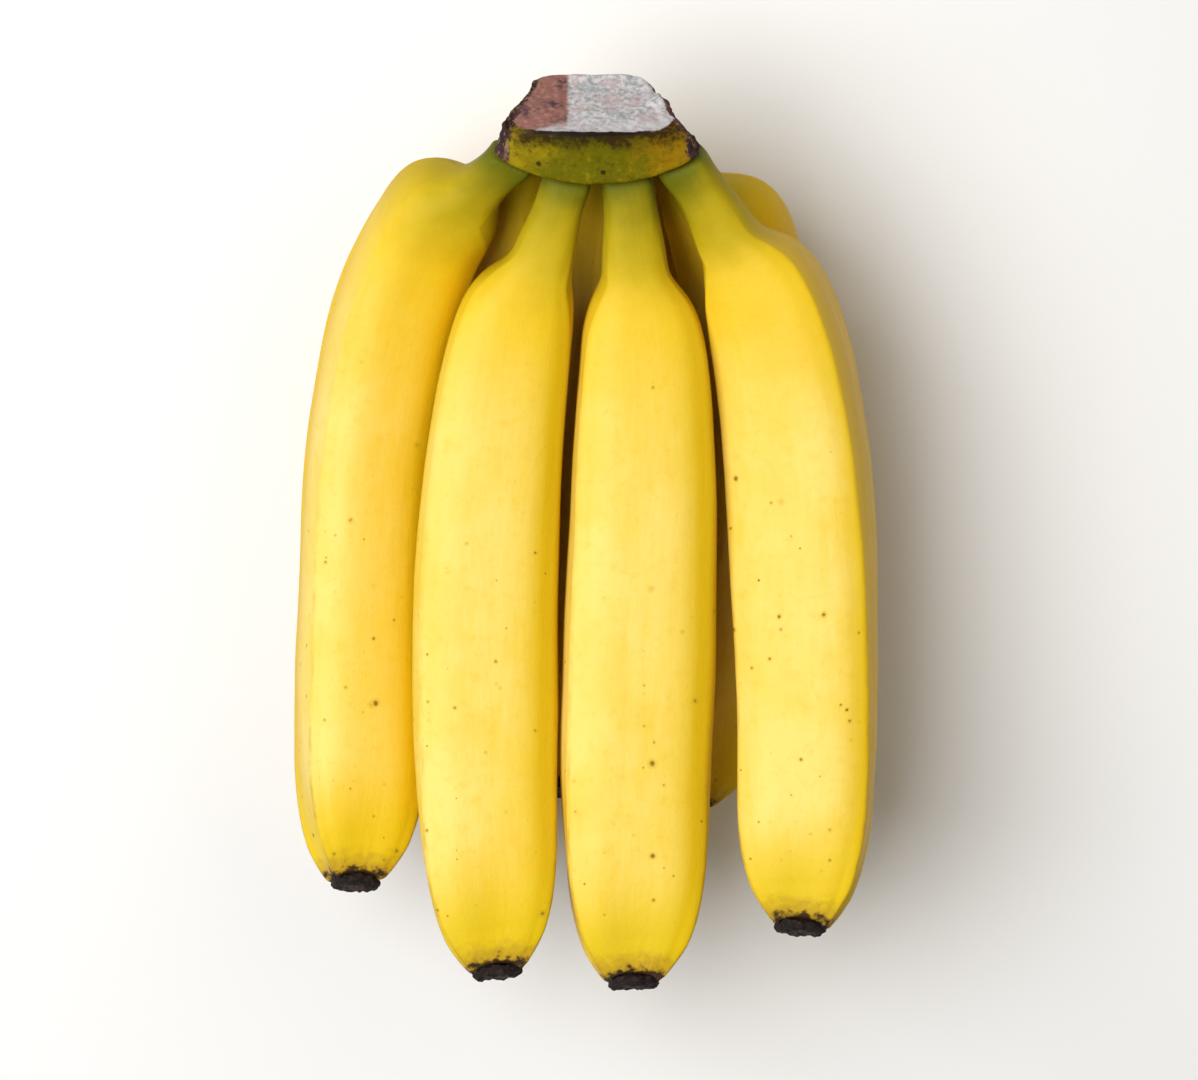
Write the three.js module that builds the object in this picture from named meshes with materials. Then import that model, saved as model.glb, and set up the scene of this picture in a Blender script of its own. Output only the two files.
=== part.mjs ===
// A hand of seven ripe bananas, lying on its curved backs as it is put down on a table.
// Millimetres, +Z up. +Y points to the crown, where the fruit were cut from the stalk,
// and +X points to the right as one looks down on it with the crown at the top.
// Four bananas lie side by side on top and three lie under them, on the table.

import * as THREE from 'three';

// Crown: a wedge of old stem that carries both rows. Its own axes are u along X, v towards
// the top row and w from the fruit to the cut face.
const CROWN_CENTRE = [-5.2, 104, 66];
const CROWN_LEAN_DEG = 32.6;
const CROWN_SEAM_FRONT_HALF_WIDTH = 27;
const CROWN_SEAM_BACK_HALF_WIDTH = 17.5;
const CROWN_SEAM_HALF_DEPTH = 13;
const CROWN_CUT_FRONT_HALF_WIDTH = 22;
const CROWN_CUT_BACK_HALF_WIDTH = 13;
const CROWN_CUT_HALF_DEPTH = 11.4;
const CROWN_CUT_SHIFT = -1.5;
const CROWN_HEIGHT = 14.5;
const CROWN_FRONT_BULGE = 3;
const CROWN_UNDERSIDE_RADIUS = 55;
const CROWN_CUT_DISH = 0.9;
const CROWN_POINTS = 32;
const CROWN_SHARPNESS = 9;
const CROWN_UNDERSIDE_SCALES = [0.35, 0.7];
const CROWN_SIDE_RISES = [0, 0.2, 0.45, 0.7, 0.92];
const CROWN_CUT_EDGE_SCALE = 0.97;
const CROWN_CUT_SCALES = [0.72, 0.36];

// Necks: where each banana leaves the underside of the crown.
const FRONT_NECKS = { depth: 6.6, halfWidth: 5.9, halfThickness: 6 };
const BACK_NECKS = { depth: -6.6, halfWidth: 5.6, halfThickness: 5.8 };
const NECK_SHARPNESS = 6;
const SEAM_GAP = 0.7;

// Bananas: the half-width at the thickest place, and the share of it along the length.
const GIRTH = 18;
const NECK_SHARE = 0.35;
const GIRTH_ALONG = [
  [0.0, 0.335], [0.075, 0.34], [0.1, 0.385], [0.13, 0.67], [0.16, 0.8], [0.21, 0.88],
  [0.285, 0.945], [0.4, 0.985], [0.57, 1.0], [0.76, 0.985], [0.85, 0.945], [0.9, 0.87],
  [0.935, 0.775], [0.965, 0.64], [0.985, 0.5], [1.0, 0.37],
];
const SECTION_POINTS = 24;
const SECTION_STATIONS = [
  0.03, 0.06, 0.085, 0.105, 0.125, 0.145, 0.168, 0.2, 0.245, 0.3, 0.355, 0.41, 0.465, 0.52,
  0.575, 0.63, 0.685, 0.74, 0.79, 0.835, 0.872, 0.905, 0.935, 0.96, 0.98, 0.993, 1.0,
];
// The five flat sides of a banana, by where each one faces: 0 is its inner, concave side.
const SIDE_FACINGS_DEG = [0, 90, 150, 210, 270];
const EDGE_SHARPNESS = 3;
const TIP_EDGE_SHARPNESS = 4.5;
const TIP_EDGES_FROM = 0.75;

// Dried tips: the black scar of the flower.
const TIP_GAP = 0.35;
const TIP_POINTS = 12;
const TIP_PROFILE = [[0, 5.9], [0.9, 6.3], [2.3, 5.9], [3.1, 4.6], [2.5, 2.6]];
const TIP_FLOOR = 2.2;

// Each banana: where its neck sits along the crown, which way and how far the neck pulls
// its bend, where the tip ends, how far the tip pulls the bend back, its girth as a share of
// the thickest, how much later than usual its shoulder starts, as a share of its length, and
// which way its inner side faces at the neck and at the tip, in degrees.
const FRONT_ROW = [
  { name: 'front_1', neck: -19.4, neckPull: [-44, -30, -42], tip: [-65.8, -77.5, 57],
    tipPull: [0, 71, -32], girth: 0.965, late: -0.015, face: [22, 17] },
  { name: 'front_2', neck: -6.4, neckPull: [-18.4, -51, -16], tip: [-29.8, -95.5, 76],
    tipPull: [-8, 70, -25], girth: 1.015, late: 0.055, face: [6, 6] },
  { name: 'front_3', neck: 6.2, neckPull: [7.2, -36, -14], tip: [3.5, -98, 76],
    tipPull: [-0.5, 71, -25], girth: 1.06, late: 0.07, face: [3, 3] },
  { name: 'front_4', neck: 18.8, neckPull: [33.8, -39, -20], tip: [44.8, -85, 73],
    tipPull: [6, 67, -25], girth: 1.02, late: 0.065, face: [-24, -8] },
];
const BACK_ROW = [
  { name: 'back_1', neck: -11.8, neckPull: [-17, -32, -60], tip: [-42, -62, 28],
    tipPull: [3, 50, -18], girth: 0.875, late: 0.02, face: [-28, -28] },
  { name: 'back_2', neck: 0, neckPull: [7.4, -23, -61], tip: [-14, -60, 24],
    tipPull: [9.7, 38, -18], girth: 0.857, late: -0.01, face: [30, 30] },
  { name: 'back_3', neck: 12.1, neckPull: [44.6, -66, -65], tip: [17, -63, 27.5],
    tipPull: [13.4, 48, -14], girth: 0.87, late: 0.035, face: [28, 28] },
];

const degrees = THREE.MathUtils.degToRad;
const lerp = THREE.MathUtils.lerp;
const SQUARE_FACINGS = [0, 90, 180, 270].map(degrees);

const lean = degrees(CROWN_LEAN_DEG);
const crownAcross = new THREE.Vector3(1, 0, 0);
const crownFront = new THREE.Vector3(0, -Math.sin(lean), Math.cos(lean));
const crownUp = new THREE.Vector3(0, Math.cos(lean), Math.sin(lean));

function crownPoint(u, v, w) {
  return new THREE.Vector3(...CROWN_CENTRE)
    .addScaledVector(crownAcross, u)
    .addScaledVector(crownFront, v)
    .addScaledVector(crownUp, w);
}

// The underside is an arc from side to side, lowest in the middle.
function crownUnderside(u) {
  return CROWN_UNDERSIDE_RADIUS - Math.sqrt(CROWN_UNDERSIDE_RADIUS ** 2 - u ** 2);
}

// Half-width of a flat-sided outline with rounded edges, in the direction of an angle.
function roundedOutline(angle, facings, sharpness) {
  let sum = 0;
  for (const facing of facings) {
    sum += Math.max(0, Math.cos(angle - facing)) ** sharpness;
  }
  return sum ** (-1 / sharpness);
}

// Smooth value between the points of a profile.
function alongProfile(profile, t) {
  let i = 0;
  while (i < profile.length - 2 && t > profile[i + 1][0]) i += 1;
  const slopeAt = (k) => {
    const before = profile[Math.max(0, k - 1)];
    const after = profile[Math.min(profile.length - 1, k + 1)];
    return (after[1] - before[1]) / (after[0] - before[0]);
  };
  const span = profile[i + 1][0] - profile[i][0];
  const s = (t - profile[i][0]) / span;
  const startPull = s * (1 - s) ** 2 * span * slopeAt(i);
  const endPull = s ** 2 * (1 - s) * span * slopeAt(i + 1);
  const blend = s ** 2 * (3 - 2 * s);
  return lerp(profile[i][1], profile[i + 1][1], blend) + startPull - endPull;
}

// A closed body through rings of points, with a centre point closing each end.
function loft(rings, startCentre, endCentre) {
  const count = rings[0].length;
  const positions = rings.flat().concat([startCentre, endCentre]).flatMap((p) => [p.x, p.y, p.z]);
  const start = rings.length * count;
  const end = start + 1;
  const faces = [];
  for (let k = 0; k < count; k += 1) {
    const next = (k + 1) % count;
    faces.push(start, k, next);
    for (let i = 0; i < rings.length - 1; i += 1) {
      const a = i * count;
      const b = a + count;
      faces.push(a + k, b + next, a + next);
      faces.push(a + k, b + k, b + next);
    }
    const last = (rings.length - 1) * count;
    faces.push(end, last + next, last + k);
  }
  const geometry = new THREE.BufferGeometry();
  geometry.setAttribute('position', new THREE.Float32BufferAttribute(positions, 3));
  geometry.setIndex(faces);
  return geometry;
}

function ringCentre(ring) {
  const sum = new THREE.Vector3();
  for (const point of ring) sum.add(point);
  return sum.divideScalar(ring.length);
}

// The middle line of a banana, from its neck at 0 to its tip at 1.
function middleLine(banana, necks) {
  const root = crownPoint(banana.neck, necks.depth, crownUnderside(banana.neck));
  const tip = new THREE.Vector3(...banana.tip);
  const neckHandle = new THREE.Vector3(...banana.neckPull).add(root);
  const tipHandle = new THREE.Vector3(...banana.tipPull).add(tip);
  return new THREE.CubicBezierCurve3(root, neckHandle, tipHandle, tip);
}

// Half-width of a banana at a place on its middle line.
function halfWidth(banana, t) {
  const share = alongProfile(GIRTH_ALONG, Math.max(0, t - banana.late * (1 - t) ** 3));
  return share * GIRTH * banana.girth;
}

// The centre of a banana at a place on its middle line, and the directions there: along it,
// to its inner side, and sideways. The shoulder stands out on the outer side of the bend.
function placeOn(line, banana, t) {
  const along = line.getTangentAt(t);
  const turn = degrees(lerp(banana.face[0], banana.face[1], t));
  const inner = new THREE.Vector3(Math.sin(turn), 0, Math.cos(turn));
  inner.addScaledVector(along, -inner.dot(along)).normalize();
  const side = new THREE.Vector3().crossVectors(inner, along);
  const outer = line.getPoint(0.5).multiplyScalar(2).sub(line.v0).sub(line.v3);
  outer.addScaledVector(along, -outer.dot(along)).normalize();
  const swell = halfWidth(banana, t) - NECK_SHARE * GIRTH * banana.girth;
  const centre = line.getPointAt(t).addScaledVector(outer, swell * (1 - t) ** 2);
  return { centre, along, inner, side };
}

function bananaRing(line, banana, t) {
  const { centre, inner, side } = placeOn(line, banana, t);
  const half = halfWidth(banana, t);
  const facings = SIDE_FACINGS_DEG.map(degrees);
  const toTip = THREE.MathUtils.smoothstep(t, TIP_EDGES_FROM, 1);
  const sharpness = lerp(EDGE_SHARPNESS, TIP_EDGE_SHARPNESS, toTip);
  const ring = [];
  for (let k = 0; k < SECTION_POINTS; k += 1) {
    const angle = (k / SECTION_POINTS) * 2 * Math.PI;
    const reach = half * roundedOutline(angle, facings, sharpness);
    const point = centre.clone();
    point.addScaledVector(inner, reach * Math.cos(angle));
    point.addScaledVector(side, reach * Math.sin(angle));
    ring.push(point);
  }
  return ring;
}

// The top of the neck follows the underside of the crown, a seam's width below it.
function neckRing(banana, necks) {
  const ring = [];
  for (let k = 0; k < SECTION_POINTS; k += 1) {
    const angle = (k / SECTION_POINTS) * 2 * Math.PI;
    const reach = roundedOutline(angle, SQUARE_FACINGS, NECK_SHARPNESS);
    const u = banana.neck + necks.halfWidth * reach * Math.sin(angle);
    const v = necks.depth + necks.halfThickness * reach * Math.cos(angle);
    ring.push(crownPoint(u, v, crownUnderside(u) - SEAM_GAP));
  }
  return ring;
}

// What lies on the table is pressed flat where it touches.
function pressFlat(ring) {
  for (const point of ring) point.z = Math.max(0, point.z);
}

function makeBanana(banana, necks) {
  const line = middleLine(banana, necks);
  const rings = [neckRing(banana, necks)];
  for (const station of SECTION_STATIONS) rings.push(bananaRing(line, banana, station));
  for (const ring of rings) pressFlat(ring);
  const last = rings[rings.length - 1];
  return loft(rings, ringCentre(rings[0]), ringCentre(last));
}

function makeDriedTip(banana, necks) {
  const { centre, along, inner, side } = placeOn(middleLine(banana, necks), banana, 1);
  const base = centre.addScaledVector(along, TIP_GAP);
  const rings = TIP_PROFILE.map(([height, half]) => {
    const ring = [];
    for (let k = 0; k < TIP_POINTS; k += 1) {
      const angle = (k / TIP_POINTS) * 2 * Math.PI;
      const point = base.clone().addScaledVector(along, height);
      point.addScaledVector(inner, half * Math.cos(angle));
      point.addScaledVector(side, half * Math.sin(angle));
      ring.push(point);
    }
    return ring;
  });
  return loft(rings, base, base.clone().addScaledVector(along, TIP_FLOOR));
}

// One ring round the crown. Rise is 0 at the seam and 1 at the cut face, and a scale under 1
// lies inside the underside or the cut face.
function crownRing(rise, scale, drop) {
  const ring = [];
  for (let k = 0; k < CROWN_POINTS; k += 1) {
    const angle = (k / CROWN_POINTS) * 2 * Math.PI;
    const reach = roundedOutline(angle, SQUARE_FACINGS, CROWN_SHARPNESS) * scale;
    const across = -reach * Math.sin(angle);
    const through = reach * Math.cos(angle);
    const toFront = (through + 1) / 2;
    const seamHalf = lerp(CROWN_SEAM_BACK_HALF_WIDTH, CROWN_SEAM_FRONT_HALF_WIDTH, toFront);
    const cutHalf = lerp(CROWN_CUT_BACK_HALF_WIDTH, CROWN_CUT_FRONT_HALF_WIDTH, toFront);
    const u = across * lerp(seamHalf, cutHalf, rise);
    const bulge = CROWN_FRONT_BULGE * Math.max(0, through) * (1 - across ** 2);
    const v = through * lerp(CROWN_SEAM_HALF_DEPTH, CROWN_CUT_HALF_DEPTH, rise) + bulge;
    const w = lerp(crownUnderside(u), CROWN_HEIGHT, rise) - drop;
    ring.push(crownPoint(u + rise * CROWN_CUT_SHIFT, v, w));
  }
  return ring;
}

function makeCrown() {
  const rings = [];
  for (const scale of CROWN_UNDERSIDE_SCALES) rings.push(crownRing(0, scale, 0));
  for (const rise of CROWN_SIDE_RISES) rings.push(crownRing(rise, 1, 0));
  rings.push(crownRing(1, CROWN_CUT_EDGE_SCALE, 0));
  for (const scale of CROWN_CUT_SCALES) rings.push(crownRing(1, scale, CROWN_CUT_DISH));
  const cutCentre = crownPoint(CROWN_CUT_SHIFT, 0, CROWN_HEIGHT - CROWN_CUT_DISH);
  return loft(rings, crownPoint(0, 0, 0), cutCentre);
}

function makeMaterial(colour, roughness) {
  return new THREE.MeshStandardMaterial({ color: colour, roughness, metalness: 0 });
}

const peelMaterial = makeMaterial('#f0c92e', 0.5);
const crownMaterial = makeMaterial('#6f6a1c', 0.7);
const driedMaterial = makeMaterial('#2a1f17', 0.9);

const hand = new THREE.Group();

function addPiece(name, geometry, material) {
  const mesh = new THREE.Mesh(geometry, material);
  mesh.name = name;
  hand.add(mesh);
}

function addRow(row, necks) {
  for (const banana of row) {
    addPiece(`banana_${banana.name}`, makeBanana(banana, necks), peelMaterial);
    addPiece(`dried_tip_${banana.name}`, makeDriedTip(banana, necks), driedMaterial);
  }
}

addPiece('crown', makeCrown(), crownMaterial);
addRow(FRONT_ROW, FRONT_NECKS);
addRow(BACK_ROW, BACK_NECKS);

// The origin is on the table, under the middle of the hand.
const box = new THREE.Box3().setFromObject(hand);
hand.position.set(-(box.min.x + box.max.x) / 2, -(box.min.y + box.max.y) / 2, 0);

export default hand;
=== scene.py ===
import math

import bmesh
import bpy
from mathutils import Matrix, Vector, noise


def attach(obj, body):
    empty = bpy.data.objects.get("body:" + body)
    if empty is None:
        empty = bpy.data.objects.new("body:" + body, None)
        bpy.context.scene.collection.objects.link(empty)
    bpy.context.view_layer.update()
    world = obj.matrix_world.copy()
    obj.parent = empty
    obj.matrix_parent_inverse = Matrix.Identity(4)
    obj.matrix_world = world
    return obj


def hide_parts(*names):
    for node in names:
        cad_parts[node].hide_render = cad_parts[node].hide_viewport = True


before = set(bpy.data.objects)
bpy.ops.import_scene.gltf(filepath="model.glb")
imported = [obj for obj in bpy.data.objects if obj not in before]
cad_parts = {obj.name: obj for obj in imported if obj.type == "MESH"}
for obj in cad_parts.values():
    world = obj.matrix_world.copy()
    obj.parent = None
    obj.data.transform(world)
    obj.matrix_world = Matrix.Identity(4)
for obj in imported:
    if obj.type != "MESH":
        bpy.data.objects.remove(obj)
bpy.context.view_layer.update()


# The bananas. Each is one fruit in its ripe peel, grown with its neck out of the crown, five
# sided with soft ridges where the sides meet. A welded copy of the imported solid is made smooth
# and gets its ridges, its rounded shoulders, its creased neck and its small dents.
SIDES = 24
PEEL_LEVELS = 3
RIDGE_DEGREES = (52, 120, 180, 240, 308)
RIDGE_HALF_WIDTH = math.radians(5)
RIDGE_HEIGHT = 0.0006
FLAT_DEPTH = 0.0013
BODY_FROM = 0.07
BODY_FADE = 0.18
END_FROM = 0.78
LUMPS = ((38, 0.0004), (110, 0.00009))
CREASES_TO = 0.17
CREASE_HEIGHT = 0.0007
NECK_END = 0.12
NECK_SPREAD = 0.045
NECK_FULLNESS = 0.0015
# Each row: side (1 right, -1 left), middle and spread along the fruit, height.
FULLER_SIDES = {
    "banana_front_1": ((-1, 0.50, 0.35, -0.0010),),
    "banana_front_2": ((1, 0.68, 0.22, 0.0012), (-1, 0.60, 0.30, 0.0008)),
    "banana_front_3": ((-1, 0.68, 0.22, 0.0012), (1, 0.60, 0.28, 0.0012)),
    "banana_front_4": ((-1, 0.55, 0.20, 0.0017),),
    "banana_back_3": ((1, 0.17, 0.11, 0.0042),),
}
# The way the painted light comes from: the peel is painted paler where it faces up and to the left, and
# darker where it faces away.
PAINTED_LIGHT_FROM = Vector((-0.45, 0, 0.9)).normalized()
# How far the inner side of each fruit turns from upright, at its neck and at its tip.
FACING_DEGREES = {
    "banana_front_1": (22, 17), "banana_front_2": (6, 6), "banana_front_3": (3, 3),
    "banana_front_4": (-24, -8), "banana_back_1": (-28, -28), "banana_back_2": (30, 30),
    "banana_back_3": (28, 28),
}


def welded_copy(node, name):
    """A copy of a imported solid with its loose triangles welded, in its place."""
    bpy.ops.object.select_all(action="DESELECT")
    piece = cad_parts[node].copy()
    piece.data = piece.data.copy()
    piece.name = name
    piece.data.name = name
    bpy.context.collection.objects.link(piece)
    bpy.context.view_layer.objects.active = piece
    piece.select_set(True)
    bpy.ops.mesh.customdata_custom_splitnormals_clear()
    bpy.ops.object.mode_set(mode="EDIT")
    bpy.ops.mesh.select_all(action="SELECT")
    bpy.ops.mesh.remove_doubles(threshold=0.00001)
    bpy.ops.mesh.faces_shade_smooth()
    bpy.ops.object.mode_set(mode="OBJECT")
    piece.data.materials.clear()
    return piece


def rings_from(pole):
    """The rings of corners round a lofted piece, from the one next to a pole to the far pole."""
    seen = {pole}
    ring = [edge.other_vert(pole) for edge in pole.link_edges]
    rings = []
    while ring:
        seen.update(ring)
        rings.append(ring)
        around = dict.fromkeys(edge.other_vert(v) for v in ring for edge in v.link_edges)
        ring = [v for v in around if v not in seen]
    return rings


def wrap(angle):
    return (angle + math.pi) % (2 * math.pi) - math.pi


def lay_out_peel(piece, facing):
    """Marks how far along and which way round each corner lies, and takes out the diagonals."""
    shape = bmesh.new()
    shape.from_mesh(piece.data)
    along_layer = shape.verts.layers.float.new("along")
    across_layer = shape.verts.layers.float.new("round_cos")
    round_layer = shape.verts.layers.float.new("round_sin")
    poles = [v for v in shape.verts if len(v.link_edges) == SIDES]
    pole = max(poles, key=lambda v: v.co.y)
    rings = rings_from(pole)
    centres = [sum((v.co for v in ring), Vector()) / len(ring) for ring in rings]
    lengths = [0.0]
    for before, after in zip(centres, centres[1:]):
        lengths.append(lengths[-1] + (after - before).length)
    angles = {}
    number = {pole: -1}
    for i, ring in enumerate(rings):
        share = lengths[i] / lengths[-1]
        ahead = centres[min(i + 1, len(rings) - 2)] - centres[max(i - 1, 0)]
        ahead.normalize()
        turn = math.radians(facing[0] + (facing[1] - facing[0]) * share)
        inner = Vector((math.sin(turn), 0, math.cos(turn)))
        inner = (inner - ahead * inner.dot(ahead)).normalized()
        side = inner.cross(ahead)
        for v in ring:
            spoke = v.co - centres[i]
            angle = math.atan2(spoke.dot(side), spoke.dot(inner)) if len(ring) > 1 else 0.0
            v[along_layer] = share
            v[across_layer] = math.cos(angle)
            v[round_layer] = math.sin(angle)
            angles[v] = angle
            number[v] = i
    diagonals = []
    for i, ring in enumerate(rings[:-2]):
        for v in ring:
            onward = [e for e in v.link_edges if number[e.other_vert(v)] == i + 1]
            first, second = onward
            gap = wrap(angles[second.other_vert(v)] - angles[first.other_vert(v)])
            diagonals.append(second if gap > 0 else first)
    bmesh.ops.dissolve_edges(shape, edges=diagonals, use_verts=False)
    shape.to_mesh(piece.data)
    shape.free()


def make_smooth(piece, levels):
    """Rounds a piece with an applied Subdivision Surface."""
    bpy.context.view_layer.objects.active = piece
    smooth = piece.modifiers.new("smooth", "SUBSURF")
    smooth.levels = levels
    smooth.render_levels = levels
    bpy.ops.object.modifier_apply(modifier=smooth.name)


def push_out(piece, height_at):
    """Moves each point along its normal by the height that a rule gives for it."""
    places = [v.co + v.normal * height_at(v) for v in piece.data.vertices]
    for v, place in zip(piece.data.vertices, places):
        v.co = place
        v.co.z = max(0.0, v.co.z)
    piece.data.update()


def write_marks(piece, marks):
    """Keeps lists of one value a point as attributes, for the material to read."""
    for name, values in marks.items():
        piece.data.attributes.new(name, "FLOAT", "POINT").data.foreach_set("value", values)


def place_on_side(angle):
    """How close an angle is to the nearest ridge: 1 on it, 0 at the middle of a flat side."""
    ridges = [math.radians(ridge) for ridge in RIDGE_DEGREES]
    before = min((angle - ridge) % (2 * math.pi) for ridge in ridges)
    after = min((ridge - angle) % (2 * math.pi) for ridge in ridges)
    return abs(before - after) / (before + after), min(before, after)


def model_peel(piece, seed, fuller_sides):
    """Flattens the five sides between their ridges, rounds the shoulders and creases the neck."""
    mesh = piece.data
    along = [d.value for d in mesh.attributes["along"].data]
    across = [d.value for d in mesh.attributes["round_cos"].data]
    aside = [d.value for d in mesh.attributes["round_sin"].data]
    marks = {"ridge": [], "painted_light_facing": []}
    shift = Vector((seed * 0.37, seed * 0.11, seed * 0.23))

    def height_at(v):
        i = v.index
        t = along[i]
        nearness, gap = place_on_side(math.atan2(aside[i], across[i]))
        crest = math.exp(-((gap / RIDGE_HALF_WIDTH) ** 2))
        marks["ridge"].append(crest)
        # Records how far each point faces up and to the left, for the painted highlight and painted shade
        # of the peel.
        marks["painted_light_facing"].append(v.normal.dot(PAINTED_LIGHT_FROM))
        body = min(1.0, max(0.0, t - BODY_FROM) / BODY_FADE) * (0.5 + 0.5 * min(1.0, (1 - t) / 0.04))
        body *= 1 + max(0.0, t - END_FROM) * 4
        wave = 0.8 + 0.4 * noise.noise(v.co * 30 + shift)
        facet = FLAT_DEPTH * (nearness ** 2 - 0.8) + RIDGE_HEIGHT * crest * wave
        lump = sum(noise.noise(v.co * cells + shift) * height for cells, height in LUMPS)
        neck = max(0.0, 1 - t / CREASES_TO) * min(1.0, t / 0.02)
        crease = noise.noise(Vector((across[i] * 1.3, aside[i] * 1.3, t * 5)) + shift) * CREASE_HEIGHT
        fuller = NECK_FULLNESS * math.exp(-(((t - NECK_END) / NECK_SPREAD) ** 2))
        for side, middle, spread, height in fuller_sides:
            fuller += height * max(0.0, side * v.normal.x) * math.exp(-(((t - middle) / spread) ** 2))
        lump = (lump + fuller) * min(1.0, t / 0.05) * min(1.0, (1 - t) / 0.03)
        return facet * body + lump + crease * neck

    push_out(piece, height_at)
    write_marks(piece, marks)


def put(tree, socket, value):
    """Sets a socket to a value, or wires it to another socket."""
    if isinstance(value, bpy.types.NodeSocket):
        tree.links.new(value, socket)
    else:
        socket.default_value = value


def maths(tree, operation, first, second=0.0):
    node = tree.nodes.new("ShaderNodeMath")
    node.operation = operation
    put(tree, node.inputs[0], first)
    put(tree, node.inputs[1], second)
    return node.outputs[0]


def fade(tree, value, start, end, low=0.0, high=1.0):
    """Goes smoothly from low to high as a value goes from start to end."""
    node = tree.nodes.new("ShaderNodeMapRange")
    node.interpolation_type = "SMOOTHSTEP"
    names = ("Value", "From Min", "From Max", "To Min", "To Max")
    for name, number in zip(names, (value, start, end, low, high)):
        put(tree, node.inputs[name], number)
    return node.outputs["Result"]


def mottle(tree, place, scale, detail=3.0, roughness=0.55):
    node = tree.nodes.new("ShaderNodeTexNoise")
    put(tree, node.inputs["Vector"], place)
    node.inputs["Scale"].default_value = scale
    node.inputs["Detail"].default_value = detail
    node.inputs["Roughness"].default_value = roughness
    return node.outputs["Fac"]


def stretch(tree, place, sizes):
    node = tree.nodes.new("ShaderNodeMapping")
    put(tree, node.inputs["Vector"], place)
    node.inputs["Scale"].default_value = sizes
    return node.outputs["Vector"]


def tint(tree, share, under, over):
    """Lays one colour over another by a share from 0 to 1."""
    node = tree.nodes.new("ShaderNodeMix")
    node.data_type = "RGBA"
    put(tree, node.inputs["Factor"], share)
    put(tree, node.inputs[6], under)
    put(tree, node.inputs[7], over)
    return node.outputs[2]


def relief(tree, height, depth, under=None):
    node = tree.nodes.new("ShaderNodeBump")
    node.inputs["Strength"].default_value = 1.0
    node.inputs["Distance"].default_value = depth
    put(tree, node.inputs["Height"], height)
    if under:
        put(tree, node.inputs["Normal"], under)
    return node.outputs["Normal"]


def read_mark(tree, name):
    node = tree.nodes.new("ShaderNodeAttribute")
    node.attribute_name = name
    return node.outputs["Fac"]


def own_place(tree):
    return tree.nodes.new("ShaderNodeTexCoord").outputs["Object"]


def make_speck_group():
    """Small round spots scattered over a skin: masks of the spots and of the halo round each."""
    group = bpy.data.node_groups.new("skin_specks", "ShaderNodeTree")
    face = group.interface
    face.new_socket("Place", in_out="INPUT", socket_type="NodeSocketVector")
    for name, value in (("Cells per metre", 180.0), ("Size", 0.15), ("Share of cells", 0.1)):
        face.new_socket(name, in_out="INPUT", socket_type="NodeSocketFloat").default_value = value
    for name in ("Spot", "Halo"):
        face.new_socket(name, in_out="OUTPUT", socket_type="NodeSocketFloat")
    given = group.nodes.new("NodeGroupInput").outputs
    cells = group.nodes.new("ShaderNodeTexVoronoi")
    put(group, cells.inputs["Vector"], given["Place"])
    put(group, cells.inputs["Scale"], given["Cells per metre"])
    dice = group.nodes.new("ShaderNodeSeparateColor")
    put(group, dice.inputs["Color"], cells.outputs["Color"])
    size = maths(group, "MULTIPLY", given["Size"], maths(group, "ADD", dice.outputs["Green"], 0.4))
    frayed = maths(group, "MULTIPLY", mottle(group, given["Place"], 900), 0.12)
    reach = maths(group, "ADD", cells.outputs["Distance"], maths(group, "SUBTRACT", frayed, 0.06))
    reach = maths(group, "DIVIDE", reach, size)
    chosen = maths(group, "LESS_THAN", dice.outputs["Red"], given["Share of cells"])
    output = group.nodes.new("NodeGroupOutput")
    put(group, output.inputs["Spot"], maths(group, "MULTIPLY", fade(group, reach, 1.1, 0.5), chosen))
    put(group, output.inputs["Halo"], maths(group, "MULTIPLY", fade(group, reach, 2.3, 0.8), chosen))
    return group


skin_specks = make_speck_group()


def specks(tree, place, cells, size, share):
    node = tree.nodes.new("ShaderNodeGroup")
    node.node_tree = skin_specks
    put(tree, node.inputs["Place"], place)
    put(tree, node.inputs["Cells per metre"], cells)
    put(tree, node.inputs["Size"], size)
    put(tree, node.inputs["Share of cells"], share)
    return node.outputs["Spot"], node.outputs["Halo"]


BODY_YELLOW = (0.80, 0.530, 0.006, 1)
# The colour of the painted highlight on the peel.
PAINTED_HIGHLIGHT_YELLOW = (0.87, 0.655, 0.140, 1)
WARM_YELLOW = (0.80, 0.465, 0.004, 1)
# The colour of the painted shade on the peel.
PAINTED_SHADE_YELLOW = (0.64, 0.385, 0.002, 1)
NECK_YELLOW = (0.42, 0.315, 0.001, 1)
NECK_GREEN = (0.105, 0.120, 0.001, 1)
TIP_YELLOW = (0.76, 0.54, 0.006, 1)
RIDGE_TAN = (0.45, 0.25, 0.020, 1)
SPECK_BROWN = (0.24, 0.115, 0.010, 1)
SPECK_HALO = (0.58, 0.40, 0.010, 1)
SCAR_BROWN = (0.060, 0.030, 0.012, 1)
BODY_LENGTH_IN_HALF_GIRTHS = 11.7
# Cells per metre, and the size of a speck as a share of its cell.
LARGE_SPECKS = (190, 0.105)
SMALL_SPECKS = (420, 0.13)


def centred(tree, value, size):
    """Shifts a pattern so that it varies evenly about 0, by the given size."""
    return maths(tree, "MULTIPLY", maths(tree, "SUBTRACT", value, 0.5), size)


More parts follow.
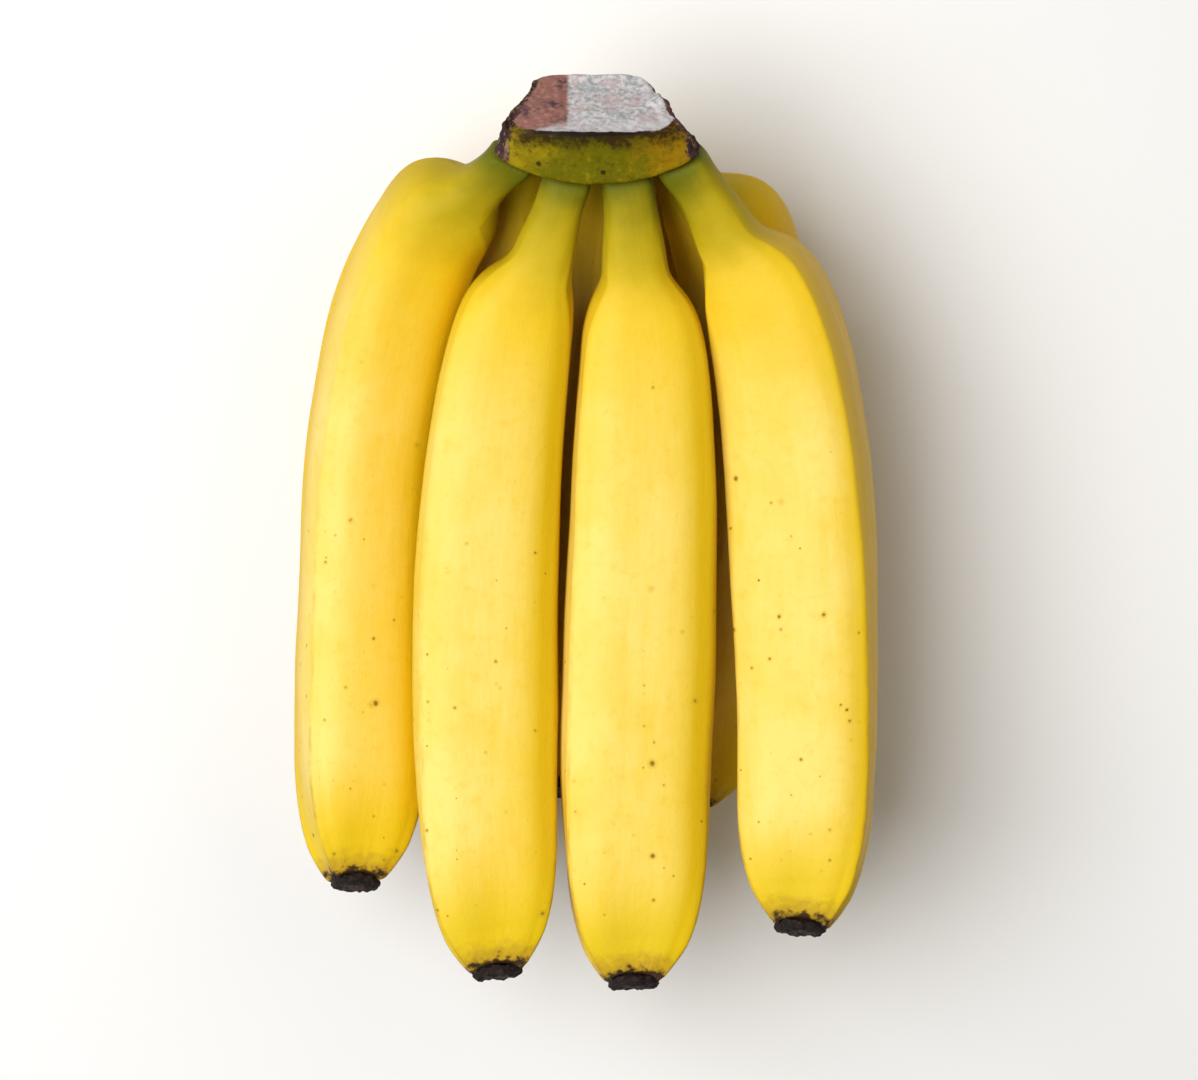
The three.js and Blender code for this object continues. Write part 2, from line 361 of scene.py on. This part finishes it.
def make_peel_material():
    """Waxy ripe peel: green at the neck, cloudy yellow along its grain, with a few brown specks, a painted
    highlight where it faces up and to the left and painted shade where it faces away.
    """
    material = bpy.data.materials.new("ripe_peel")
    material.use_nodes = True
    tree = material.node_tree
    shader = tree.nodes["Principled BSDF"]
    place = own_place(tree)
    along = read_mark(tree, "along")
    ridge = read_mark(tree, "ridge")
    line = tree.nodes.new("ShaderNodeCombineXYZ")
    put(tree, line.inputs["X"], read_mark(tree, "round_cos"))
    put(tree, line.inputs["Y"], read_mark(tree, "round_sin"))
    put(tree, line.inputs["Z"], maths(tree, "MULTIPLY", along, BODY_LENGTH_IN_HALF_GIRTHS))
    line = line.outputs["Vector"]

    grain = mottle(tree, stretch(tree, line, (5, 5, 0.7)), 1.5, 4, 0.6)
    clouds = maths(tree, "ADD", mottle(tree, place, 30, 3), centred(tree, grain, 0.35))
    # Painted highlight: the peel is painted paler along the middle and lower body and on the sides that
    # face up and to the left, broken up by its cloudy tone.
    below_neck = fade(tree, along, 0.16, 0.42, 0.15, 1.0)
    paler = maths(tree, "MULTIPLY", below_neck, fade(tree, along, 0.96, 0.84, 0.3, 1.0))
    painted_light_facing = read_mark(tree, "painted_light_facing")
    paler = maths(tree, "MULTIPLY", paler, fade(tree, painted_light_facing, 0.35, 0.95))
    paler = maths(tree, "MULTIPLY", paler, fade(tree, clouds, 0.36, 0.64, 0.6, 1.1))
    # Painted shade: the sides that face away from the upper left are painted a deeper, darker yellow.
    colour = tint(tree, fade(tree, painted_light_facing, 0.75, 0.0, 0, 0.7), BODY_YELLOW, PAINTED_SHADE_YELLOW)
    colour = tint(tree, paler, colour, PAINTED_HIGHLIGHT_YELLOW)
    colour = tint(tree, fade(tree, clouds, 0.42, 0.25, 0, 0.25), colour, WARM_YELLOW)
    fine = mottle(tree, place, 330, 4, 0.65)
    colour = tint(tree, fade(tree, fine, 0.48, 0.75, 0, 0.30), colour, WARM_YELLOW)

    neckward = maths(tree, "ADD", along, centred(tree, mottle(tree, place, 60), 0.09))
    neckward = maths(tree, "ADD", neckward, centred(tree, grain, 0.015))
    colour = tint(tree, fade(tree, neckward, 0.20, 0.075, 0, 0.88), colour, NECK_YELLOW)
    colour = tint(tree, fade(tree, neckward, 0.095, 0.0, 0, 0.95), colour, NECK_GREEN)
    colour = tint(tree, fade(tree, neckward, 0.86, 0.98, 0, 0.7), colour, TIP_YELLOW)

    broken = fade(tree, mottle(tree, stretch(tree, line, (9, 9, 2)), 1.3, 4), 0.40, 0.68)
    crest = maths(tree, "MULTIPLY", fade(tree, ridge, 0.70, 1.0), fade(tree, along, 0.40, 0.95, 0.06, 0.6))
    colour = tint(tree, maths(tree, "MULTIPLY", crest, broken), colour, RIDGE_TAN)
    worn = mottle(tree, stretch(tree, line, (30, 30, 5)), 1.2, 5, 0.7)
    worn = maths(tree, "MULTIPLY", fade(tree, worn, 0.62, 0.72), fade(tree, along, 0.35, 0.95, 0.06, 0.55))
    colour = tint(tree, worn, colour, RIDGE_TAN)

    more_below = fade(tree, along, 0.14, 0.85, 0.0, 0.18)
    spot, halo = specks(tree, place, *LARGE_SPECKS, more_below)
    dot, dot_halo = specks(tree, place, *SMALL_SPECKS, maths(tree, "MULTIPLY", more_below, 0.9))
    halos = maths(tree, "MULTIPLY", maths(tree, "MAXIMUM", halo, dot_halo), 0.55)
    spots = maths(tree, "MAXIMUM", maths(tree, "MULTIPLY", spot, 0.9), maths(tree, "MULTIPLY", dot, 0.7))
    colour = tint(tree, halos, colour, SPECK_HALO)
    colour = tint(tree, spots, colour, SPECK_BROWN)
    browned = maths(tree, "ADD", along, centred(tree, mottle(tree, place, 500, 4), 0.035))
    colour = tint(tree, fade(tree, browned, 0.968, 0.995, 0, 0.7), colour, RIDGE_TAN)
    colour = tint(tree, fade(tree, browned, 0.990, 0.999), colour, SCAR_BROWN)
    put(tree, shader.inputs["Base Color"], colour)

    dullness = fade(tree, grain, 0.3, 0.7, 0.40, 0.50)
    dullness = maths(tree, "ADD", dullness, fade(tree, along, 0.22, 0.08, 0.0, 0.22))
    dullness = maths(tree, "ADD", dullness, maths(tree, "MULTIPLY", spots, 0.25))
    put(tree, shader.inputs["Roughness"], dullness)
    shader.inputs["Specular IOR Level"].default_value = 0.2
    normal = relief(tree, mottle(tree, place, 1600, 2), 0.00004)
    smooth_neck = fade(tree, along, 0.10, 0.30, 0.15, 1.0)
    normal = relief(tree, maths(tree, "MULTIPLY", grain, smooth_neck), 0.00012, normal)
    normal = relief(tree, fine, 0.00012, normal)
    put(tree, shader.inputs["Normal"], relief(tree, maths(tree, "MULTIPLY", spots, -1.0), 0.00008, normal))
    return material


ripe_peel = make_peel_material()
for seed, (node, facing) in enumerate(FACING_DEGREES.items(), 1):
    peel = welded_copy(node, node.replace("banana", "peel"))
    lay_out_peel(peel, facing)
    make_smooth(peel, PEEL_LEVELS)
    model_peel(peel, seed, FULLER_SIDES.get(node, ()))
    peel.data.materials.append(ripe_peel)
    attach(peel, "root")
    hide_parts(node)


# The dried tips. Each is the black scar of the flower at the end of a banana, a shallow cup of
# dead fibre with a ragged rim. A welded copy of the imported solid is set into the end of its
# fruit, then rounded and roughened.
TIP_LEVELS = 3
TIP_SIDES = 12
TIP_ROOT = 0.0016
TIP_SPREAD = 1.04
TIP_HEIGHT_KEPT = 0.6
RAGGED = 0.0007
SCAR_BLACK = (0.010, 0.006, 0.005, 1)
SCAR_ASH = (0.045, 0.026, 0.020, 1)
CUP_BROWN = (0.115, 0.070, 0.062, 1)


def seat_tip(piece):
    """Sinks the base of a scar into its fruit, presses it flat and marks the corners of its cup."""
    shape = bmesh.new()
    shape.from_mesh(piece.data)
    cup_layer = shape.verts.layers.float.new("in_cup")
    ends = [v for v in shape.verts if len(v.link_edges) == TIP_SIDES]
    root, floor_point = sorted(ends, key=lambda v: -v.co.y)
    rings = rings_from(root)
    outward = (floor_point.co - root.co).normalized()
    middle = root.co.copy()
    for v in shape.verts:
        height = (v.co - middle).dot(outward)
        spoke = v.co - middle - outward * height
        v.co += spoke * (TIP_SPREAD - 1) - outward * height * (1 - TIP_HEIGHT_KEPT)
    for v in [root] + rings[0]:
        v.co -= outward * TIP_ROOT
    for v in rings[-1] + rings[-2]:
        v[cup_layer] = 1.0
    shape.to_mesh(piece.data)
    shape.free()


def make_scar_material():
    """Dead flower fibre: black and dry, with a browner floor to the cup."""
    material = bpy.data.materials.new("dried_flower")
    material.use_nodes = True
    tree = material.node_tree
    shader = tree.nodes["Principled BSDF"]
    place = own_place(tree)
    crumbs = mottle(tree, place, 700, 5, 0.7)
    colour = tint(tree, fade(tree, crumbs, 0.45, 0.70), SCAR_BLACK, SCAR_ASH)
    inner = maths(tree, "MULTIPLY", read_mark(tree, "in_cup"), fade(tree, crumbs, 0.38, 0.62, 0.15, 1.0))
    colour = tint(tree, inner, colour, CUP_BROWN)
    put(tree, shader.inputs["Base Color"], colour)
    put(tree, shader.inputs["Roughness"], fade(tree, crumbs, 0.3, 0.7, 0.62, 0.9))
    shader.inputs["Specular IOR Level"].default_value = 0.25
    normal = relief(tree, crumbs, 0.0005)
    put(tree, shader.inputs["Normal"], relief(tree, mottle(tree, place, 2200, 3), 0.00015, normal))
    return material


dried_flower = make_scar_material()
for node in [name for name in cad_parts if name.startswith("dried_tip")]:
    tip = welded_copy(node, node.replace("dried_tip", "flower_scar"))
    seat_tip(tip)
    make_smooth(tip, TIP_LEVELS)
    push_out(tip, lambda v: RAGGED * (noise.noise(v.co * 380) + 0.6 * noise.noise(v.co * 950) - 0.2))
    tip.data.materials.append(dried_flower)
    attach(tip, "root")
    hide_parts(node)


# The crown. It is the wedge of old stem that the hand was cut off with, green below, with a dry
# dark rim round the grey cut face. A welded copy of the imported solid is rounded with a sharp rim,
# and its flanks are ragged where they were torn.
CROWN_CENTRE = Vector((0.003241, 0.094304, 0.066))
CROWN_LEAN = math.radians(32.6)
CROWN_HEIGHT = 0.0145
CROWN_SEAM_HALF_WIDTHS = (0.0175, 0.027)
CROWN_CUT_HALF_WIDTHS = (0.013, 0.022)
CROWN_HALF_DEPTHS = (0.013, 0.0114)
CROWN_FRONT_BULGE = 0.003
CROWN_CUT_SHIFT = -0.0015
CROWN_SIDES = 32
CROWN_SHARPNESS = 9
CROWN_LEVELS = 3
RIM_CREASE = 0.85
FLANK_CREASE = 0.5
FLANK_FROM = 0.8
CORNER_DROP = 0.0045
CORNER_CUT = 0.6
SKIN_BUMPS = (0.00022, 0.00006)
TORN_BUMPS = (0.0012, 0.0008)
TORN_DEPTH = 0.0005
CUT_BUMPS = 0.0002
crown_front = Vector((0, -math.sin(CROWN_LEAN), math.cos(CROWN_LEAN)))
crown_up = Vector((0, math.cos(CROWN_LEAN), math.sin(CROWN_LEAN)))


def blend(pair, share):
    return pair[0] + (pair[1] - pair[0]) * share


def place_in_crown(point):
    """Where a point lies across, through and up the crown, each as a share of its size there."""
    place = point - CROWN_CENTRE
    rise = min(1.0, max(0.0, place.dot(crown_up) / CROWN_HEIGHT))
    through = place.dot(crown_front) / blend(CROWN_HALF_DEPTHS, rise)
    across = 0.0
    for _ in range(3):
        front = min(1.0, max(0.0, (through + 1) / 2))
        half = blend((blend(CROWN_SEAM_HALF_WIDTHS, front), blend(CROWN_CUT_HALF_WIDTHS, front)), rise)
        across = (place.x - rise * CROWN_CUT_SHIFT) / half
        depth = blend(CROWN_HALF_DEPTHS, rise)
        if through > 0:
            depth += CROWN_FRONT_BULGE * max(0.0, 1 - across ** 2)
        through = place.dot(crown_front) / depth
    return across, through, rise


def cut_rim(piece):
    """Creases the edge round the cut face and slopes the face down at its front corners."""
    shape = bmesh.new()
    shape.from_mesh(piece.data)
    crease = shape.edges.layers.float.new("crease_edge")
    cut_pole = max((v for v in shape.verts if len(v.link_edges) == CROWN_SIDES), key=lambda v: v.co.y)
    rim = {v: place_in_crown(v.co) for v in rings_from(cut_pole)[2]}
    for edge in shape.edges:
        if edge.verts[0] in rim and edge.verts[1] in rim:
            far_out = max(abs(rim[v][0]) for v in edge.verts)
            edge[crease] = RIM_CREASE if far_out < FLANK_FROM else FLANK_CREASE
    for v, (across, through, _) in rim.items():
        v.co -= crown_up * CORNER_DROP * abs(across) ** 3 * max(0.0, through)
    shape.to_mesh(piece.data)
    shape.free()


def model_crown(piece):
    """Tears the flanks, roughens the cut face and marks where each point lies on the crown."""
    marks = {"across": [], "through": [], "rise": [], "reach": []}

    def height_at(v):
        across, through, rise = place_in_crown(v.co)
        reach = (abs(across) ** CROWN_SHARPNESS + abs(through) ** CROWN_SHARPNESS) ** (1 / CROWN_SHARPNESS)
        for name, value in (("across", across), ("through", through), ("rise", rise), ("reach", reach)):
            marks[name].append(value)
        coarse = noise.noise(v.co * 170)
        fine = noise.noise(v.co * 620)
        flank = min(1.0, max(0.0, (abs(across) - 0.88) / 0.1))
        on_cut = min(1.0, max(0.0, (0.96 - reach) / 0.05)) * (1.0 if rise > 0.7 else 0.0)
        skin = SKIN_BUMPS[0] * coarse + SKIN_BUMPS[1] * fine
        torn = flank * rise * (TORN_BUMPS[0] * coarse + TORN_BUMPS[1] * fine - TORN_DEPTH)
        return skin + torn + on_cut * (CUT_BUMPS * fine + CUT_BUMPS * coarse) - 0.0001

    push_out(piece, height_at)
    write_marks(piece, marks)


SKIN_LEFT = (0.33, 0.235, 0.002, 1)
SKIN_MIDDLE = (0.14, 0.125, 0.001, 1)
SKIN_RIGHT = (0.29, 0.165, 0.002, 1)
EDGE_BROWN = (0.020, 0.008, 0.002, 1)
RIM_BROWN = (0.012, 0.007, 0.005, 1)
FLANK_PURPLE = (0.040, 0.020, 0.022, 1)
FLANK_RED = (0.12, 0.052, 0.040, 1)
FLANK_FIBRE = (0.30, 0.20, 0.12, 1)
CUT_GREY = (0.34, 0.345, 0.355, 1)
CUT_WHITE = (0.60, 0.58, 0.585, 1)
CUT_PINK = (0.48, 0.36, 0.36, 1)
CUT_BLUE = (0.30, 0.34, 0.38, 1)
CUT_DARK = (0.12, 0.13, 0.13, 1)
STAIN_RED = (0.28, 0.125, 0.100, 1)
STAIN_PALE = (0.48, 0.27, 0.22, 1)
STAIN_PURPLE = (0.060, 0.030, 0.048, 1)
PITS = ((-0.0139, 0.0058), (0.0013, 0.0039), (0.0184, 0.0020))
PIT_RADIUS = 0.0009
STAIN_EDGE = -0.0065


def make_stem_material():
    """Cut stem: green and brown skin with a dark edge, round a grey cut face with a red stain."""
    material = bpy.data.materials.new("cut_stem")
    material.use_nodes = True
    tree = material.node_tree
    shader = tree.nodes["Principled BSDF"]
    place = own_place(tree)
    own = tree.nodes.new("ShaderNodeMapping")
    own.vector_type = "TEXTURE"
    own.inputs["Location"].default_value = CROWN_CENTRE
    own.inputs["Rotation"].default_value = (CROWN_LEAN, 0, 0)
    put(tree, own.inputs["Vector"], place)
    axes = tree.nodes.new("ShaderNodeSeparateXYZ")
    put(tree, axes.inputs["Vector"], own.outputs["Vector"])
    across = read_mark(tree, "across")
    rise = read_mark(tree, "rise")
    reach = read_mark(tree, "reach")
    through = read_mark(tree, "through")
    soft = mottle(tree, place, 120, 4, 0.6)
    rough = mottle(tree, place, 420, 5, 0.7)
    crumbs = mottle(tree, place, 1100, 5, 0.75)

    sideways = maths(tree, "ADD", across, centred(tree, soft, 1.3))
    skin = tint(tree, fade(tree, sideways, -0.75, -0.25), SKIN_LEFT, SKIN_MIDDLE)
    skin = tint(tree, fade(tree, sideways, 0.30, 0.75), skin, SKIN_RIGHT)
    skin = tint(tree, fade(tree, rough, 0.50, 0.72, 0, 0.7), skin, SKIN_LEFT)
    skin = tint(tree, fade(tree, rough, 0.48, 0.30, 0, 0.4), skin, EDGE_BROWN)
    skin = tint(tree, fade(tree, crumbs, 0.56, 0.70, 0, 0.6), skin, EDGE_BROWN)
    for pit_across, pit_rise in PITS:
        sidestep = maths(tree, "SUBTRACT", axes.outputs["X"], pit_across)
        upstep = maths(tree, "SUBTRACT", axes.outputs["Y"], pit_rise)
        span = maths(tree, "ADD", maths(tree, "POWER", sidestep, 2.0), maths(tree, "POWER", upstep, 2.0))
        span = maths(tree, "ADD", maths(tree, "SQRT", span), centred(tree, rough, 0.0012))
        pit = fade(tree, span, PIT_RADIUS, PIT_RADIUS * 0.4, 0, 0.85)
        pit = maths(tree, "MULTIPLY", pit, maths(tree, "GREATER_THAN", through, 0.0))
        skin = tint(tree, pit, skin, EDGE_BROWN)
    upward_edge = maths(tree, "ADD", rise, centred(tree, rough, 1.0))
    upward_edge = maths(tree, "ADD", upward_edge, centred(tree, soft, 0.6))
    skin = tint(tree, fade(tree, upward_edge, 0.58, 0.96, 0, 0.92), skin, EDGE_BROWN)
    skin = tint(tree, fade(tree, rise, 0.90, 0.95), skin, RIM_BROWN)
    backward = maths(tree, "ADD", through, centred(tree, soft, 0.8))
    skin = tint(tree, fade(tree, backward, 0.1, -0.7, 0, 0.8), skin, FLANK_PURPLE)
    torn = maths(tree, "ABSOLUTE", maths(tree, "SUBTRACT", across, 0.04))
    torn = maths(tree, "ADD", torn, centred(tree, rough, 0.22))
    torn = maths(tree, "ADD", torn, fade(tree, rise, 0.0, 1.0, 0.07, -0.03))
    torn = fade(tree, torn, 0.87, 0.92)
    fibre = mottle(tree, stretch(tree, own.outputs["Vector"], (1, 0.3, 1)), 900, 4, 0.7)
    flank = tint(tree, fade(tree, soft, 0.48, 0.62, 0, 0.6), FLANK_PURPLE, FLANK_RED)
    flank = tint(tree, fade(tree, fibre, 0.52, 0.64, 0, 0.75), flank, FLANK_FIBRE)
    skin = tint(tree, torn, skin, flank)

    grains = mottle(tree, place, 850, 2, 0.5)
    cut = tint(tree, fade(tree, grains, 0.32, 0.64), CUT_GREY, CUT_WHITE)
    patches = mottle(tree, place, 260, 4, 0.65)
    cut = tint(tree, fade(tree, patches, 0.50, 0.64, 0, 0.7), cut, CUT_PINK)
    cut = tint(tree, fade(tree, patches, 0.47, 0.34, 0, 0.6), cut, CUT_BLUE)
    cut = tint(tree, fade(tree, crumbs, 0.56, 0.74, 0, 0.5), cut, CUT_DARK)
    corner = maths(tree, "MULTIPLY", maths(tree, "POWER", maths(tree, "ABSOLUTE", across), 4.0), CORNER_CUT)
    forward = maths(tree, "ADD", through, corner)
    paler = maths(tree, "MULTIPLY", fade(tree, forward, 0.45, 0.9), fade(tree, rough, 0.3, 0.6))
    cut = tint(tree, maths(tree, "MULTIPLY", paler, 0.8), cut, CUT_WHITE)
    stained = maths(tree, "ADD", axes.outputs["X"], centred(tree, rough, 0.0016))
    front_edge = maths(tree, "ADD", through, centred(tree, soft, 0.5))
    front_edge = maths(tree, "ADD", front_edge, maths(tree, "MULTIPLY", across, 0.9))
    stained = fade(tree, stained, STAIN_EDGE, STAIN_EDGE - 0.0011)
    stained = maths(tree, "MULTIPLY", stained, fade(tree, front_edge, 0.55, 0.20))
    stain = tint(tree, fade(tree, soft, 0.48, 0.66, 0, 0.85), STAIN_RED, STAIN_PURPLE)
    stain = tint(tree, fade(tree, grains, 0.44, 0.68, 0, 0.4), stain, STAIN_PALE)
    cut = tint(tree, stained, cut, stain)

    inside = maths(tree, "ADD", reach, centred(tree, rough, 0.05))
    on_cut = maths(tree, "MULTIPLY", fade(tree, inside, 0.972, 0.952), fade(tree, rise, 0.70, 0.78))
    on_cut = maths(tree, "MULTIPLY", on_cut, maths(tree, "SUBTRACT", 1.0, torn))
    forward = maths(tree, "ADD", forward, centred(tree, rough, 0.1))
    on_cut = maths(tree, "MULTIPLY", on_cut, fade(tree, forward, 0.97, 0.92))
    put(tree, shader.inputs["Base Color"], tint(tree, on_cut, skin, cut))
    dry = maths(tree, "MAXIMUM", on_cut, torn)
    dry = maths(tree, "MAXIMUM", dry, fade(tree, rough, 0.3, 0.7, 0.0, 0.6))
    put(tree, shader.inputs["Roughness"], fade(tree, dry, 0.0, 1.0, 0.5, 0.88))
    shader.inputs["Specular IOR Level"].default_value = 0.1
    normal = relief(tree, rough, 0.00016)
    put(tree, shader.inputs["Normal"], relief(tree, crumbs, 0.00007, normal))
    return material


crown = welded_copy("crown", "crown_stem")
cut_rim(crown)
make_smooth(crown, CROWN_LEVELS)
model_crown(crown)
crown.data.materials.append(make_stem_material())
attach(crown, "root")
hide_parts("crown")


# The floor and the light. A plain pale floor, a large soft lamp from the upper left and a pale
# sky for the shadows.
bpy.ops.object.select_all(action="DESELECT")
bpy.ops.mesh.primitive_plane_add(size=4, location=(0, 0, 0))
floor = bpy.context.object
floor.name = "floor"
pale = bpy.data.materials.new("pale_floor")
pale.use_nodes = True
pale.node_tree.nodes["Principled BSDF"].inputs["Base Color"].default_value = (0.86, 0.86, 0.86, 1)
pale.node_tree.nodes["Principled BSDF"].inputs["Roughness"].default_value = 0.9
floor.data.materials.append(pale)

sky = bpy.data.worlds.new("studio")
sky.use_nodes = True
sky.node_tree.nodes["Background"].inputs["Color"].default_value = (1, 1, 1, 1)
sky.node_tree.nodes["Background"].inputs["Strength"].default_value = 0.08
bpy.context.scene.world = sky


def add_lamp(name, place, size, power, colour):
    lamp = bpy.data.lights.new(name, "AREA")
    lamp.color = colour
    lamp.size = size
    lamp.energy = power
    stand = bpy.data.objects.new(name, lamp)
    stand.location = place
    stand.rotation_euler = (-Vector(place)).to_track_quat("-Z", "Y").to_euler()
    bpy.context.collection.objects.link(stand)


add_lamp("key_lamp", (-0.56, 0.16, 1.14), 1.0, 20.5, (1, 1, 1))
add_lamp("fill_lamp", (0.8, 0.45, 0.95), 1.0, 4, (1, 0.9, 0.72))

# The camera looks down on the hand from almost straight above, tilted a little to the crown.
CAMERA_TILT = math.radians(7.4)
CAMERA_DISTANCE = 0.88
back = Vector((0, math.sin(CAMERA_TILT), math.cos(CAMERA_TILT)))
upward = Vector((0, math.cos(CAMERA_TILT), -math.sin(CAMERA_TILT)))
aim = Vector((0.003625, 0, 0.045)) - upward * 0.003
lens = bpy.data.cameras.new("camera")
lens.sensor_width = 36
lens.lens = 105.8
camera = bpy.data.objects.new("camera", lens)
camera.location = aim + back * CAMERA_DISTANCE
camera.rotation_euler = (-CAMERA_TILT, 0, 0)
bpy.context.collection.objects.link(camera)
bpy.context.scene.camera = camera
bpy.context.scene.view_settings.view_transform = "Standard"
